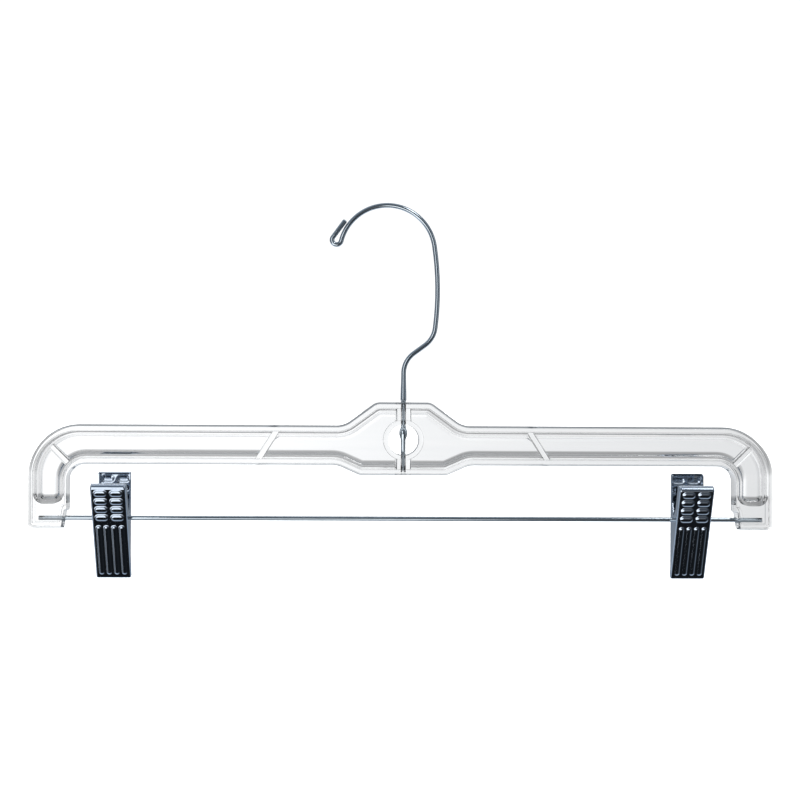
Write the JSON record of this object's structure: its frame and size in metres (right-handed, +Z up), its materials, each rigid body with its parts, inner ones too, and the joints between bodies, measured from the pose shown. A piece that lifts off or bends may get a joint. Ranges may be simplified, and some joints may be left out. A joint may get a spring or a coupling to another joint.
{
  "type": "clothes hanger",
  "caption": "Clear moulded skirt and trouser hanger with a swivel wire hook, a straight wire bar and sprung pinch clips that slide along it.",
  "frame": {"origin": "seat of the rail: the point inside the hook straight above its shank", "axes": "+X along the arms, -Y the front, +Z up along the shank"},
  "size_m": [0.3556, 0.0264, 0.1803],
  "materials": {
    "clear_body": "clear polystyrene, polished mould",
    "chrome_wire": "drawn steel wire, nickel-chrome plated",
    "chrome_clip": "pressed steel sheet, nickel-chrome plated",
    "spring_steel": "bent spring strip, nickel plated"
  },
  "bodies": {
    "hook": {"swivel_hook": "chrome_wire"},
    "hanger": {"hanger_body": "clear_body", "wire_bar": "chrome_wire"},
    "left_clip_carrier": {"left_clip_spring": "spring_steel"},
    "left_clip_back": {"left_clip_back_leg": "chrome_clip"},
    "left_clip_front": {"left_clip_front_leg": "chrome_clip"},
    "right_clip_carrier": {"right_clip_spring": "spring_steel"},
    "right_clip_back": {"right_clip_back_leg": "chrome_clip"},
    "right_clip_front": {"right_clip_front_leg": "chrome_clip"}
  },
  "joints": [
    {"name": "hook_swivel", "type": "hinge", "parent": "hook", "child": "hanger", "pos_m": [0, 0, -0.09705], "axis": [0, 0, 1], "continuous": true},
    {"name": "left_clip_slide", "type": "slide", "parent": "hanger", "child": "left_clip_carrier", "axis": [1, 0, 0], "range_m": [-0.0095, 0.096]},
    {"name": "left_clip_swing", "type": "hinge", "parent": "left_clip_carrier", "child": "left_clip_back", "pos_m": [-0.138, 0, -0.14705], "axis": [1, 0, 0], "range_deg": [-80, 80]},
    {"name": "left_clip_open", "type": "hinge", "parent": "left_clip_back", "child": "left_clip_front", "pos_m": [-0.138, 0, -0.14705], "axis": [-1, 0, 0], "range_deg": [0, 30], "stiffness_Nm_per_rad": 0.4, "springref_deg": -28.65, "deforming": ["left_clip_spring"]},
    {"name": "right_clip_slide", "type": "slide", "parent": "hanger", "child": "right_clip_carrier", "axis": [1, 0, 0], "range_m": [-0.096, 0.0095]},
    {"name": "right_clip_swing", "type": "hinge", "parent": "right_clip_carrier", "child": "right_clip_back", "pos_m": [0.138, 0, -0.14705], "axis": [1, 0, 0], "range_deg": [-80, 80]},
    {"name": "right_clip_open", "type": "hinge", "parent": "right_clip_back", "child": "right_clip_front", "pos_m": [0.138, 0, -0.14705], "axis": [-1, 0, 0], "range_deg": [0, 30], "stiffness_Nm_per_rad": 0.4, "springref_deg": -28.65, "deforming": ["right_clip_spring"]}
  ]
}
